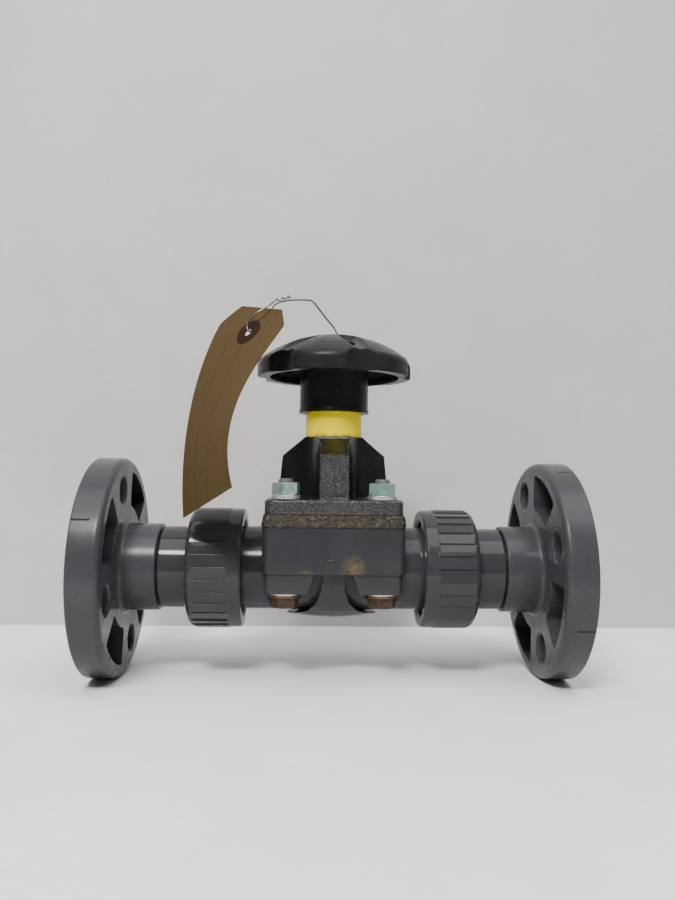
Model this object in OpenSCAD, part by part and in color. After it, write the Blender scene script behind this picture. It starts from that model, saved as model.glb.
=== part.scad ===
// Flanged weir-type diaphragm valve, DN 40, with union ends.
// X runs along the pipe from inlet to outlet, Z up the spindle, Y to the back.
// The origin is where the spindle's axis crosses the axis of the flow bore.

/* [Flow] */
// Radius of the flow bore in the valve body
bore_r = 20.5; // [18:0.5:21]
// Radius of the bore in tails and flanges
end_bore_r = 21; // [20:0.5:21.5]
// Outside radius of the pipe pieces in the sockets
pipe_r = 25; // [24.5:0.1:25.2]
// Wall thickness of the pipe pieces
pipe_wall = 3.7; // [2.4:0.1:3.9]

/* [Valve body] */
// Half length of the square body block
block_x = 47.5; // [46.5:0.5:49]
// Half width of the square body block
block_y = 40.5; // [40:0.5:42]
// Height of the face that the diaphragm seals on
seat_z = 30.3; // [30:0.1:30.6]
// Outside radius of the round ends of the body
neck_r = 28.6; // [28:0.1:29]
// Height of the top of the weir
weir_z = 8; // [7:0.5:9]
// Distance from the centre to the end faces
body_end_x = 80; // [79.5:0.5:80.5]

/* [Bonnet] */
// Distance of the bolts from the centre along the pipe
bolt_x = 32.3; // [31.5:0.1:33]
// Distance of the bolts from the centre across the pipe
bolt_y = 29.5; // [29:0.1:30]
// Thickness of the diaphragm's rim
rim_t = 8.4; // [7.5:0.1:9]
// Height of the bonnet's flange
bonnet_flange_t = 10.2; // [9:0.1:11]
// Half length of the bonnet's upper part at its foot
housing_x = 37; // [36:0.5:38]
// Half width of the bonnet's upper part at its foot
housing_y = 36; // [35:0.5:37]
// Radius of the four scoops that clear the nuts
scoop_r = 22; // [21:0.5:22.5]
// Outside radius of the indicator sleeve
sleeve_r = 19.6; // [19:0.1:19.8]

/* [Handwheel] */
// Outside radius of the handwheel over its lobes
wheel_r = 54.5; // [50:0.5:58]
// Height of the lower edge of the wheel's rim
wheel_z = 133.5; // [132:0.5:135]
// Height of the crown of the wheel
crown_z = 164; // [162:0.5:166]
// Outside radius of the skirt below the wheel
skirt_r = 24.2; // [24:0.1:26]
// Number of lobes on the rim
lobes = 6; // [5:1:8]

/* [Union ends] */
// Outside radius of the union nuts
nut_r = 41.1; // [40:0.1:42]
// Number of grip steps round a union nut
grip_steps = 30; // [24:1:36]
// Outside radius of the union tails
tail_r = 28.1; // [27.8:0.1:28.2]
// Major radius of the union thread, G 2 1/4
thread_r = 32.85; // [32.8:0.01:32.9]
// Pitch of the union thread
thread_pitch = 2.309; // [2.309]

/* [Flanges] */
// Outside diameter of the flanges
flange_d = 150; // [148:1:152]
// Diameter of the circle of bolt holes
hole_circle_d = 110; // [110]
// Diameter of the inlet flange's bolt holes
inlet_hole_d = 18; // [18]
// Diameter of the outlet flange's bolt holes
outlet_hole_d = 18.4; // [18.4]
// Thickness of the flange plates
flange_t = 20; // [18:0.5:22]
// Distance from the centre to the outer face of each flange
face_x = 162.7; // [162.7]
// Turn of the inlet flange's holes from the top
inlet_hole_turn = 16.5; // [0:0.1:89]
// Turn of the outlet flange's holes from the top
outlet_hole_turn = -21.3; // [-45:0.1:45]

/* [Tag] */
// Thickness of the paper tag
tag_t = 0.5; // [0.4:0.1:0.8]
// Diameter of the tag's steel wire
wire_d = 1.2; // [1:0.1:1.4]

/* [Hidden] */

$fn = 96;
eps = 0.01;
far = 200;
pvc = [0.27, 0.28, 0.30];
cast_black = [0.06, 0.06, 0.065];
zinc = [0.62, 0.68, 0.68];
steel = [0.66, 0.67, 0.68];
rust = [0.40, 0.24, 0.18];
brass = [0.72, 0.58, 0.28];
rubber = [0.10, 0.09, 0.08];

// Heights of the joint faces above the seat
bonnet_z = seat_z + rim_t;
flange_top_z = bonnet_z + bonnet_flange_t;

// Block and bolt pads of the body
block_corner_r = 8;
pad_bottom_z = -13;
pad_inner_x = 13;
pad_foot_x = 17.5;
belly_drop = 5.4;
belly_half_x = 42;
belly_seam_t = 0.9;
spotface_r = 10.8;

// Opening over the weir
dish_x = 31;
dish_y = 24;
dish_depth = seat_z - weir_z;
weir_top_x = 3.5;
weir_foot_x = 30;

// Threaded ends of the body
thread_x = 65;
oring_r = 25.6;
oring_section_r = 1.5;
oring_groove_w = 4;
oring_groove_depth = 2 * oring_section_r + 0.1;

// Bonnet bolts, nuts and washers, size M10
m10_hole_r = 5.5;
m10_r = 4.95;
m10_nut_bore_r = 5;
m10_across_flats = 17;
m10_nut_h = 8.4;
m10_head_h = 7;
m10_washer_r = 10;
m10_washer_hole_r = 5.3;
m10_washer_t = 2.5;
bolt_end_z = 62.5;

// Diaphragm, its moulded stud and the compressor
membrane_t = 4.5;
membrane_low_z = 24;
membrane_arc_r = 48.9;
membrane_sag = seat_z - membrane_low_z;
stud_r = 3;
stud_head_r = 6;
stud_head_z = 25.4;
stud_head_t = 1.5;
stud_top_z = 35.5;
compressor_x = 25;
compressor_arc_r = 17;
compressor_low_z = 28.8;
compressor_plate_z = 43.7;
compressor_boss_r = 12;
compressor_top_z = 63.5;
wing_x = 27.5;
wing_half_t = 4;
wing_top_z = 58;
lower_pocket_z = 44.5;
chamber_z = 64;
chamber_r = 16.5;

// Spindle and what runs on it
spindle_r = 8;
spindle_low_z = 37;
washer_t = 1;
groove_low_z = 50;
groove_high_z = 54.2;
groove_r = 6;
pin_r = 2;
pin_half_l = 9.5;
bush_r = 12.5;
bush_top_z = 112;
neck_top_z = 114;
rim_z = 91.5;
seal_z = 106;
seal_section_r = 1.6;
square_z = 140;
square_af = 11;
hub_top_z = 152;
m8_r = 4;
spindle_top_z = 161.5;
sleeve_top_z = 119;

// Handwheel
dome_r = 85.6;
dome_edge_z = 142;
wheel_wall = 4;
skirt_low_z = 108.5;
skirt_inner_r = 20.4;
skirt_ceiling_z = 137;
recess_r = 13;
lobe_turn = -11.6;
scallop_r = 19.8;
scallop_dist = wheel_r + 14.8;
finger_r = 9;

// Union ends, measured from the centre outwards
nut_open_x = 61;
nut_band_x = 69.4;
nut_grip_x = 91.6;
nut_end_x = 98;
nut_lip_x = 87.1;
collar_x = 87;
collar_r = 31;
tail_end_x = 117;
hub_start_x = 118;
socket_stop_x = 86;
flange_stop_x = 149;
hub_r = 30;
pocket_in_r = 42;
pocket_out_r = 66.5;
pocket_half_deg = 20.5;
pocket_corner_r = 3;

// ---------- shared shapes ----------

// Moves children to each of the four bonnet bolts.
module at_bonnet_bolts() {
    for (sx = [-1, 1], sy = [-1, 1])
        translate([sx * bolt_x, sy * bolt_y, 0]) children();
}

// Lays a shape made along +Z along the pipe, outwards on one side (-1 inlet, 1 outlet).
module along_pipe(side) {
    rotate([0, 90 * side, 0]) children();
}

// Flat rectangle with round corners.
module rounded_rect(half_x, half_y, r) {
    square([2 * (half_x - r), 2 * half_y], center = true);
    square([2 * half_x, 2 * (half_y - r)], center = true);
    for (sx = [-1, 1], sy = [-1, 1])
        translate([sx * (half_x - r), sy * (half_y - r)]) circle(r);
}

// Block with round corners between two heights.
module rounded_block(half_x, half_y, r, low, high) {
    translate([0, 0, low]) linear_extrude(high - low) rounded_rect(half_x, half_y, r);
}

// Oval prism between two heights.
module oval_block(half_x, half_y, low, high) {
    steps = 48;
    outline = [for (i = [0 : steps - 1])
        [half_x * cos(360 * i / steps), half_y * sin(360 * i / steps)]];
    translate([0, 0, low]) linear_extrude(high - low) polygon(outline);
}

// Barrel about an axis along X at height z: radius r in the middle, falling by drop at half_x.
module barrel(half_x, r, drop, z) {
    steps = 12;
    side = [for (i = [0 : 2 * steps])
        let (x = half_x * (i / steps - 1)) [r - drop * pow(x / half_x, 2), x]];
    translate([0, 0, z]) rotate([0, 90, 0])
        rotate_extrude() polygon(concat([[0, -half_x]], side, [[0, half_x]]));
}

// Spindle-shaped body about an axis along X at height z, elliptical along its length.
module long_ellipsoid(half_x, r, z) {
    steps = 24;
    side = [for (i = [0 : steps])
        [r * sin(180 * i / steps), -half_x * cos(180 * i / steps)]];
    translate([0, 0, z]) rotate([0, 90, 0]) rotate_extrude() polygon(side);
}

// Tube with both ends square.
module tube(r_out, r_in, low, high) {
    translate([0, 0, low]) difference() {
        cylinder(r = r_out, h = high - low);
        translate([0, 0, -1]) cylinder(r = r_in, h = high - low + 2);
    }
}

// Hexagon prism with its corners turned off at one or both ends.
module hexagon(across_flats, h, low_chamfer, high_chamfer) {
    corner_r = across_flats / 2 / cos(30);
    face_r = across_flats / 2 * 0.97;
    cut = (corner_r - face_r) * tan(30);
    intersection() {
        cylinder(r = corner_r, h = h, $fn = 6);
        rotate_extrude() polygon([
            [0, 0],
            [low_chamfer ? face_r : corner_r + 1, 0],
            [low_chamfer ? corner_r : corner_r + 1, low_chamfer ? cut : 0],
            [high_chamfer ? corner_r : corner_r + 1, high_chamfer ? h - cut : h],
            [high_chamfer ? face_r : corner_r + 1, h],
            [0, h]
        ]);
    }
}

// Ring of round section.
module ring(r, section_r) {
    rotate_extrude() translate([r, 0]) circle(section_r, $fn = 24);
}

// ---------- valve body and bonnet ----------

// Solid that is the weir: a ridge across the bore with hollow flanks.
module weir_ridge() {
    steps = 6;
    flank = [for (i = [0 : steps])
        let (t = i / steps)
        [weir_top_x + (weir_foot_x - weir_top_x) * t,
            weir_z - (weir_z + bore_r + 1) * (1 - pow(1 - t, 1.7))]];
    mirrored = [for (i = [steps : -1 : 0]) [-flank[i][0], flank[i][1]]];
    rotate([90, 0, 0]) linear_extrude(2 * block_y, center = true)
        polygon(concat(mirrored, flank));
}

// Space that the fluid passes through.
module flow_space() {
    long_ellipsoid(dish_x, 0.5 * (dish_y + dish_depth), seat_z);
    difference() {
        rotate([0, 90, 0]) cylinder(r = bore_r, h = 2 * body_end_x + 2, center = true);
        weir_ridge();
        translate([-weir_foot_x, -block_y, seat_z]) cube([2 * weir_foot_x, 2 * block_y, 20]);
    }
}

// Pads under the block that the bolt heads bear on.
module bolt_pads() {
    foot = [[pad_inner_x, 1], [pad_inner_x, 0], [14.5, -5], [pad_foot_x, pad_bottom_z],
        [45, pad_bottom_z], [46.6, 1]];
    for (turn = [0, 180]) rotate([0, 0, turn]) for (side = [0, 1]) mirror([side, 0, 0])
        intersection() {
            translate([0, -14, 0]) rotate([90, 0, 0]) linear_extrude(block_y) polygon(foot);
            rounded_block(block_x - 0.9, block_y - 0.9, block_corner_r, pad_bottom_z - 1, 2);
        }
}

// Webs that run from the pads down to the pipe.
module pad_webs() {
    inner_edge = [[11, -2], [13, -6], [16, -10.5], [20, -15], [24, -19]];
    for (side = [0, 1]) mirror([side, 0, 0]) rotate([90, 0, 0]) {
        linear_extrude(2 * 31, center = true) polygon(concat([[30, 1], [10, 1]], inner_edge, [[30, -19]]));
        linear_extrude(2 * 25.5, center = true) polygon(concat([[45, 1], [10, 1]], inner_edge, [[44, -19]]));
    }
}

// Belly under the block: a narrow column with a moulding seam that flares at its foot.
module belly() {
    half = [[6.5, 1], [8, -12], [11, -21], [17, -27], [28, -30.5], [belly_half_x, -32]];
    other_half = [for (i = [len(half) - 1 : -1 : 0]) [-half[i][0], half[i][1]]];
    intersection() {
        union() {
            barrel(belly_half_x, neck_r + belly_drop, belly_drop + 0.3, 0);
            rotate([0, 90, 0])
                cylinder(r = neck_r + belly_drop + 0.35, h = belly_seam_t, center = true);
        }
        rotate([90, 0, 0]) linear_extrude(far, center = true)
            polygon(concat(half, [[belly_half_x, -40], [-belly_half_x, -40]], other_half));
    }
}

// Threaded end of the body, with turned ridges.
module threaded_end() {
    root_r = thread_r - 1.48;
    ridges = floor((body_end_x - 1 - thread_x) / thread_pitch);
    teeth = [for (i = [0 : ridges - 1], k = [0 : 2])
        let (z = thread_x + i * thread_pitch)
        [k == 1 ? thread_r : root_r, z + (k == 0 ? 0 : k == 1 ? 1.15 : 2.2)]];
    rotate_extrude() polygon(concat([[0, 40], [neck_r, 40], [neck_r, thread_x - 2]],
        teeth, [[root_r, body_end_x - 0.8], [root_r - 0.8, body_end_x], [0, body_end_x]]));
}

module valve_body() {
    color(pvc) difference() {
        union() {
            rounded_block(block_x, block_y, block_corner_r, 0, seat_z);
            rotate([0, 90, 0]) cylinder(r = neck_r, h = 100, center = true);
            bolt_pads();
            pad_webs();
            belly();
            for (side = [-1, 1]) along_pipe(side) threaded_end();
            translate([0, 0.4 - block_y, 0.3]) size_mark();
        }
        flow_space();
        at_bonnet_bolts() {
            translate([0, 0, pad_bottom_z - 1]) cylinder(r = m10_hole_r, h = 60);
            translate([0, 0, pad_bottom_z - 30]) cylinder(r = spotface_r, h = 30);
        }
        for (side = [-1, 1]) along_pipe(side)
            tube(oring_r + oring_groove_w / 2, oring_r - oring_groove_w / 2,
                body_end_x - oring_groove_depth, body_end_x + 1);
    }
}

// Raised half ring moulded on the front of the block.
module size_mark() {
    rotate([90, 0, 0]) intersection() {
        tube(9.5, 8.7, 0, 0.8);
        translate([-20, 0, -1]) cube([40, 20, 3]);
    }
}

// Surface of revolution whose lower side is the membrane's underside, raised by lift.
module membrane_bowl(lift) {
    barrel(dish_x, membrane_arc_r, membrane_sag, membrane_low_z + membrane_arc_r + lift);
}

module diaphragm() {
    slope = 1.7;
    color(rubber) difference() {
        union() {
            intersection() {
                rounded_block(block_x + 0.7, block_y + 0.7, block_corner_r + 0.7, seat_z, bonnet_z);
                rotate([90, 0, 0]) linear_extrude(far, center = true) polygon([
                    [-block_x - 0.7, seat_z], [block_x + 0.7, seat_z],
                    [block_x + 0.7 - slope, bonnet_z], [slope - block_x - 0.7, bonnet_z]]);
                rotate([90, 0, 90]) linear_extrude(far, center = true) polygon([
                    [-block_y - 0.7, seat_z], [block_y + 0.7, seat_z],
                    [block_y + 0.7 - slope, bonnet_z], [slope - block_y - 0.7, bonnet_z]]);
            }
            intersection() {
                membrane_bowl(0);
                oval_block(dish_x - 0.5, dish_y - 1.6, membrane_low_z - 1, seat_z + 1);
            }
        }
        intersection() {
            membrane_bowl(membrane_t);
            oval_block(dish_x - 1.6, dish_y - 2.6, membrane_low_z, bonnet_z + 1);
        }
        at_bonnet_bolts() cylinder(r = m10_hole_r, h = 60);
        translate([0, 0, stud_head_z - 0.05])
            cylinder(r = stud_head_r + 0.05, h = stud_head_t + 0.1);
        translate([0, 0, stud_head_z]) cylinder(r = stud_r + 0.05, h = 10);
    }
}

module diaphragm_stud() {
    color(steel) translate([0, 0, stud_head_z]) {
        cylinder(r = stud_head_r, h = stud_head_t);
        cylinder(r = stud_r, h = stud_top_z - stud_head_z);
    }
}

module compressor() {
    color(cast_black) difference() {
        union() {
            intersection() {
                long_ellipsoid(compressor_x, compressor_arc_r, compressor_low_z + compressor_arc_r);
                translate([-far / 2, -far / 2, compressor_plate_z - far]) cube(far);
            }
            translate([0, 0, compressor_plate_z - 5])
                cylinder(r = compressor_boss_r, h = compressor_top_z - compressor_plate_z + 5);
            intersection() {
                translate([-wing_x, -wing_half_t, compressor_plate_z - 3])
                    cube([2 * wing_x, 2 * wing_half_t, wing_top_z - compressor_plate_z + 3]);
                cylinder(r = wing_x, h = far);
            }
        }
        translate([0, 0, spindle_low_z - washer_t]) cylinder(r = spindle_r + 0.05, h = 60);
        translate([0, 0, compressor_low_z - 5])
            cylinder(r = stud_r + 0.05, h = stud_top_z - compressor_low_z + 5.2);
        for (sx = [-1, 1]) compressor_pin(sx, pin_r + 0.05, 30);
    }
}

// One cross pin beside the spindle's groove.
module compressor_pin(sx, r, half_l) {
    translate([sx * (groove_r + pin_r + 0.05), 0, 0.5 * (groove_low_z + groove_high_z)])
        rotate([90, 0, 0]) cylinder(r = r, h = 2 * half_l, center = true, $fn = 32);
}

module compressor_pins() {
    color(steel) for (sx = [-1, 1]) compressor_pin(sx, pin_r, pin_half_l);
}

module thrust_washer() {
    color(brass) translate([0, 0, spindle_low_z - washer_t])
        cylinder(r = spindle_r - 0.2, h = washer_t - 0.05);
}

// Plan of the bonnet's upper part: a square with four scoops.
module housing_plan() {
    difference() {
        rounded_rect(housing_x + 0.5, housing_y, 3);
        for (sx = [-1, 1], sy = [-1, 1])
            translate([sx * (bolt_x - 1.3), sy * (bolt_y - 0.5)]) circle(scoop_r);
    }
}

// Upper part of the bonnet: both side views meet its plan.
module housing() {
    shoulder_z = 78.5;
    panel_top_z = 77.4;
    intersection() {
        translate([0, 0, bonnet_z]) linear_extrude(rim_z - bonnet_z) housing_plan();
        rotate([90, 0, 0]) linear_extrude(far, center = true) polygon([
            [-housing_x - 0.5, 0], [housing_x + 0.5, 0], [housing_x, 62],
            [housing_x - 1.5, shoulder_z], [sleeve_r + 1, rim_z - 0.6], [sleeve_r + 1, far],
            [-sleeve_r - 1, far], [-sleeve_r - 1, rim_z - 0.6], [1.5 - housing_x, shoulder_z],
            [-housing_x, 62]]);
        rotate([90, 0, 90]) linear_extrude(far, center = true) polygon([
            [-housing_y, 0], [housing_y, 0], [housing_y - 1, panel_top_z],
            [sleeve_r + 1, rim_z - 1.5], [sleeve_r + 1, far], [-sleeve_r - 1, far],
            [-sleeve_r - 1, rim_z - 1.5], [1 - housing_y, panel_top_z]]);
    }
    translate([0, 0, rim_z - 8]) cylinder(r = sleeve_r + 0.3, h = 8);
    cylinder(r = sleeve_r - 2.6, h = neck_top_z);
}

module bonnet() {
    color(cast_black) difference() {
        union() {
            rounded_block(block_x - 1.5, block_y - 1, 7, bonnet_z, flange_top_z - 1.2);
            rounded_block(block_x - 2.5, block_y - 2, 6.5, bonnet_z, flange_top_z);
            intersection() {
                housing();
                translate([-far / 2, -far / 2, bonnet_z]) cube(far);
            }
        }
        at_bonnet_bolts() cylinder(r = m10_hole_r, h = 60);
        oval_block(dish_x - 1.6, dish_y - 2.6, bonnet_z - 1, lower_pocket_z);
        cylinder(r = chamber_r, h = chamber_z);
        translate([0.5 - wing_x - 1.5, -wing_half_t - 0.3, 0])
            cube([2 * wing_x + 2, 2 * wing_half_t + 0.6, chamber_z]);
        cylinder(r = bush_r, h = far);
    }
}

module bonnet_bolts() {
    head_z = pad_bottom_z - m10_washer_t - m10_head_h;
    color(rust) at_bonnet_bolts() {
        translate([0, 0, head_z]) rotate([0, 0, 12]) hexagon(m10_across_flats, m10_head_h, true, false);
        translate([0, 0, head_z]) rotate_extrude() polygon([[0, 1], [m10_r, 1],
            [m10_r, bolt_end_z - head_z - 1], [m10_r - 1, bolt_end_z - head_z],
            [0, bolt_end_z - head_z]]);
    }
}

module bonnet_nuts() {
    color(zinc) at_bonnet_bolts() translate([0, 0, flange_top_z + m10_washer_t]) difference() {
        rotate([0, 0, 20]) hexagon(m10_across_flats, m10_nut_h, true, true);
        translate([0, 0, -1]) cylinder(r = m10_nut_bore_r, h = m10_nut_h + 2);
    }
}

// Four flat washers on the bonnet bolts, with their lower face at the given height.
module m10_washers(z) {
    color(steel) at_bonnet_bolts() tube(m10_washer_r, m10_washer_hole_r, z, z + m10_washer_t);
}

module upper_washers() {
    m10_washers(flange_top_z);
}

module lower_washers() {
    m10_washers(pad_bottom_z - m10_washer_t);
}

module spindle_bush() {
    color(brass) difference() {
        translate([0, 0, chamber_z]) cylinder(r = bush_r, h = bush_top_z - chamber_z);
        cylinder(r = spindle_r + 0.05, h = far);
        translate([0, 0, seal_z - seal_section_r - 0.1])
            cylinder(r = spindle_r + 2 * seal_section_r + 0.25, h = 2 * seal_section_r + 0.2);
    }
}

module spindle_seal() {
    color(rubber) translate([0, 0, seal_z]) ring(spindle_r + seal_section_r + 0.12, seal_section_r);
}

module indicator_sleeve() {
    color([0.95, 0.80, 0.02]) difference() {
        tube(sleeve_r, sleeve_r - 2.55, rim_z, sleeve_top_z);
        translate([0, 0, sleeve_top_z - 1]) rotate_extrude()
            polygon([[sleeve_r - 1, 1], [sleeve_r, 0], [sleeve_r + 1, 0], [sleeve_r + 1, 1.1],
                [sleeve_r - 1, 1.1]]);
    }
}

module spindle() {
    color(steel) difference() {
        union() {
            translate([0, 0, spindle_low_z]) cylinder(r = spindle_r, h = square_z - spindle_low_z);
            translate([-square_af / 2, -square_af / 2, square_z - 1])
                cube([square_af, square_af, hub_top_z - square_z + 1]);
            cylinder(r = m8_r, h = spindle_top_z);
        }
        tube(spindle_r + 1, groove_r, groove_low_z, groove_high_z);
        translate([0, 0, -1]) cylinder(r = far, h = spindle_low_z + 1);
    }
}

// ---------- handwheel ----------

// Radius of the dome's outer surface at a height, and its height at a radius.
function dome_height(r) = crown_z - dome_r + sqrt(dome_r * dome_r - r * r);

module wheel_blank() {
    steps = 10;
    edge_r = wheel_r - 2;
    dome = [for (i = [steps : -1 : 0]) let (r = edge_r * i / steps) [r, dome_height(r)]];
    rotate_extrude() polygon(concat([[0, skirt_ceiling_z], [0, skirt_low_z],
        [skirt_r + 0.5, skirt_low_z], [skirt_r + 0.5, skirt_low_z + 2],
        [skirt_r, skirt_low_z + 2.6], [skirt_r, wheel_z], [wheel_r - 1, wheel_z],
        [wheel_r, wheel_z + 1], [wheel_r, dome_edge_z], [wheel_r - 0.7, dome_edge_z + 2.3]], dome));
}

// Hollow under the dome, between skirt and rim.
module wheel_hollow() {
    steps = 8;
    inner_r = wheel_r - wheel_wall - 5;
    roof = [for (i = [steps : -1 : 0])
        let (r = skirt_r + (inner_r - 2 - skirt_r) * i / steps) [r, dome_height(r) - wheel_wall - 0.5]];
    difference() {
        rotate_extrude() polygon(concat([[skirt_r, wheel_z - 1], [inner_r, wheel_z - 1],
            [inner_r, dome_edge_z - 3]], roof));
        for (i = [0 : lobes - 1]) rotate([0, 0, lobe_turn - 90 + 360 * i / lobes])
            translate([0, -1.5, wheel_z + 7]) cube([wheel_r, 3, 40]);
    }
}

// One scallop in the rim and the finger groove that runs from it up the dome.
module scallop() {
    translate([scallop_dist, 0, wheel_z - 5]) cylinder(r = scallop_r, h = 60, $fn = 64);
    translate([27, 0, dome_height(27) + 5.2]) rotate([0, 110, 0]) {
        cylinder(r = finger_r, h = 60, $fn = 48);
        sphere(r = finger_r, $fn = 48);
    }
}

module handwheel() {
    color(cast_black) difference() {
        wheel_blank();
        wheel_hollow();
        for (i = [0 : lobes - 1])
            rotate([0, 0, lobe_turn - 90 + 180 / lobes + 360 * i / lobes]) scallop();
        translate([0, 0, skirt_low_z - 1])
            cylinder(r = skirt_inner_r, h = skirt_ceiling_z - skirt_low_z + 1);
        cylinder(r = spindle_r + 0.1, h = square_z);
        translate([-square_af / 2 - 0.05, -square_af / 2 - 0.05, square_z - 1])
            cube([square_af + 0.1, square_af + 0.1, 40]);
        translate([0, 0, hub_top_z]) cylinder(r = recess_r, h = 40);
    }
}

module wheel_washer() {
    color(steel) tube(8, m8_r + 0.2, hub_top_z, hub_top_z + 1.6);
}

module wheel_nut() {
    color(zinc) translate([0, 0, hub_top_z + 1.6]) difference() {
        hexagon(13, 5, false, true);
        translate([0, 0, -1]) cylinder(r = m8_r + 0.03, h = 9);
    }
}

// ---------- union ends and flanges ----------

module face_oring(side) {
    color(rubber) along_pipe(side)
        translate([0, 0, body_end_x - oring_groove_depth / 2]) ring(oring_r, oring_section_r);
}

module tail(side) {
    color(pvc) along_pipe(side) difference() {
        rotate_extrude() polygon([[0, body_end_x], [collar_r - 0.5, body_end_x],
            [collar_r, body_end_x + 0.5], [collar_r, collar_x], [tail_r, collar_x],
            [tail_r, tail_end_x - 0.8], [tail_r - 0.8, tail_end_x], [0, tail_end_x]]);
        translate([0, 0, body_end_x - 1]) cylinder(r = end_bore_r, h = 60);
        translate([0, 0, socket_stop_x]) cylinder(r = pipe_r + 0.05, h = 60);
    }
}

module nipple(side) {
    color(pvc) along_pipe(side)
        tube(pipe_r, pipe_r - pipe_wall, socket_stop_x + 0.5, flange_stop_x - 0.5);
}

// Outline of the nut's grip: teeth that rise slowly and step back.
module grip_outline(r, depth) {
    pitch = 360 / grip_steps;
    points = [for (i = [0 : grip_steps - 1], k = [0 : 3])
        let (a = pitch * (i + k / 3 * 0.98), rr = r - depth * (3 - k) / 3)
        [rr * cos(a), rr * sin(a)]];
    polygon(points);
}

// Turned outside of the union nut.
module nut_blank(r) {
    steps = 6;
    round_r = nut_end_x - nut_grip_x;
    corner = [for (i = [0 : steps])
        let (a = 90 * i / steps)
        [r - round_r + round_r * cos(a), nut_grip_x + round_r * sin(a)]];
    rotate_extrude() polygon(concat([[0, nut_open_x], [r - 1.2, nut_open_x],
        [r, nut_open_x + 1.2]], corner, [[0, nut_end_x]]));
}

module union_nut(side) {
    blank_label_deg = 64;
    color(pvc) along_pipe(side) difference() {
        union() {
            intersection() {
                nut_blank(nut_r);
                translate([0, 0, nut_band_x]) linear_extrude(40) grip_outline(nut_r, 1);
            }
            intersection() {
                nut_blank(nut_r - 0.3);
                translate([0, 0, nut_open_x]) cylinder(r = nut_r, h = nut_band_x - nut_open_x + 1);
            }
            intersection() {
                tube(nut_r, nut_r - 2, nut_open_x + 1.6, nut_band_x - 0.9);
                rotate([0, 0, blank_label_deg * side]) translate([0, -9, 0]) cube([60, 18, 100]);
            }
        }
        translate([0, 0, nut_open_x - 1]) cylinder(r = thread_r + 0.05, h = nut_lip_x - nut_open_x + 1);
        cylinder(r = tail_r + 0.3, h = far);
        translate([0, 0, nut_open_x - eps]) cylinder(r1 = thread_r + 1.6, r2 = thread_r, h = 1.6);
    }
}

// Point at a distance and an angle, and the points of an arc between two angles.
function on_ray(r, a) = [r * cos(a), r * sin(a)];
function arc_points(r, from, to, steps) =
    [for (i = [0 : steps]) on_ray(r, from + (to - from) * i / steps)];
function inner_points(r, from, to, steps) =
    [for (i = [1 : steps - 1]) on_ray(r, from + (to - from) * i / steps)];
function moved(points, by) = [for (p = points) p + by];

// Ring sector centred on +X with round corners.
module rounded_sector(r_in, r_out, half_deg, r) {
    near_r = r_in + r;
    far_r = r_out - r;
    near_a = half_deg - asin(r / near_r);
    far_a = half_deg - asin(r / far_r);
    side_a = half_deg + 90;
    polygon(concat(
        arc_points(r_out, -far_a, far_a, 8),
        moved(inner_points(r, far_a, side_a, 5), on_ray(far_r, far_a)),
        [on_ray(far_r * cos(half_deg - far_a), half_deg)],
        [on_ray(near_r * cos(half_deg - near_a), half_deg)],
        moved(inner_points(r, side_a, near_a + 180, 5), on_ray(near_r, near_a)),
        arc_points(r_in, near_a, -near_a, 6),
        moved(inner_points(r, 180 - near_a, 360 - side_a, 5), on_ray(near_r, -near_a)),
        [on_ray(near_r * cos(half_deg - near_a), -half_deg)],
        [on_ray(far_r * cos(half_deg - far_a), -half_deg)],
        moved(inner_points(r, 360 - side_a, 360 - far_a, 5), on_ray(far_r, -far_a))));
}

// Holes, pockets and marks that repeat four times round a flange.
module flange_quarter_cuts(back_x, hole_r) {
    pocket_turn = 45;
    rotate([0, 0, pocket_turn]) translate([0, 0, back_x - 1]) linear_extrude(15)
        rounded_sector(pocket_in_r, pocket_out_r, pocket_half_deg, pocket_corner_r);
    translate([hole_circle_d / 2, 0, back_x - 5]) cylinder(r = hole_r, h = 40);
    translate([hole_circle_d / 2, 0, back_x - eps])
        cylinder(r1 = hole_r + 1.4, r2 = hole_r, h = 1.4);
    rotate([0, 0, pocket_turn]) translate([flange_d / 2 - 0.7, -0.5, back_x + 0.4 * flange_t])
        cube([5, 1, flange_t]);
}

module flange(side, hole_turn, hole_r) {
    back_x = face_x - flange_t;
    edge_r = 4;
    fillet_r = 3;
    arc = [for (i = [0 : 5]) let (a = 18 * i)
        [flange_d / 2 - edge_r + edge_r * sin(a), back_x + edge_r - edge_r * cos(a)]];
    foot = [for (i = [0 : 4]) let (a = 22.5 * i)
        [hub_r + fillet_r - fillet_r * cos(a), back_x - fillet_r + fillet_r * sin(a)]];
    color(pvc) along_pipe(side) rotate([0, 0, side * hole_turn]) difference() {
        rotate_extrude() polygon(concat([[0, hub_start_x], [hub_r - 1, hub_start_x],
            [hub_r - 0.2, hub_start_x + 0.8]], foot, arc,
            [[flange_d / 2, face_x - 0.8], [flange_d / 2 - 0.8, face_x], [0, face_x]]));
        cylinder(r = end_bore_r, h = far);
        cylinder(r = pipe_r + 0.05, h = flange_stop_x);
        for (i = [0 : 3]) rotate([0, 0, 90 * i]) flange_quarter_cuts(back_x, hole_r);
        for (r = [26 : 3 : 41]) tube(r + 0.5, r - 0.5, face_x - 0.5, face_x + 1);
    }
}

module inlet_oring() {
    face_oring(-1);
}

module inlet_tail() {
    tail(-1);
}

module inlet_nipple() {
    nipple(-1);
}

module inlet_flange() {
    flange(-1, inlet_hole_turn, inlet_hole_d / 2);
}

module inlet_union_nut() {
    union_nut(-1);
}

module outlet_oring() {
    face_oring(1);
}

module outlet_tail() {
    tail(1);
}

module outlet_nipple() {
    nipple(1);
}

module outlet_flange() {
    flange(1, outlet_hole_turn, outlet_hole_d / 2);
}

module outlet_union_nut() {
    union_nut(1);
}

// ---------- tag ----------

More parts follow.
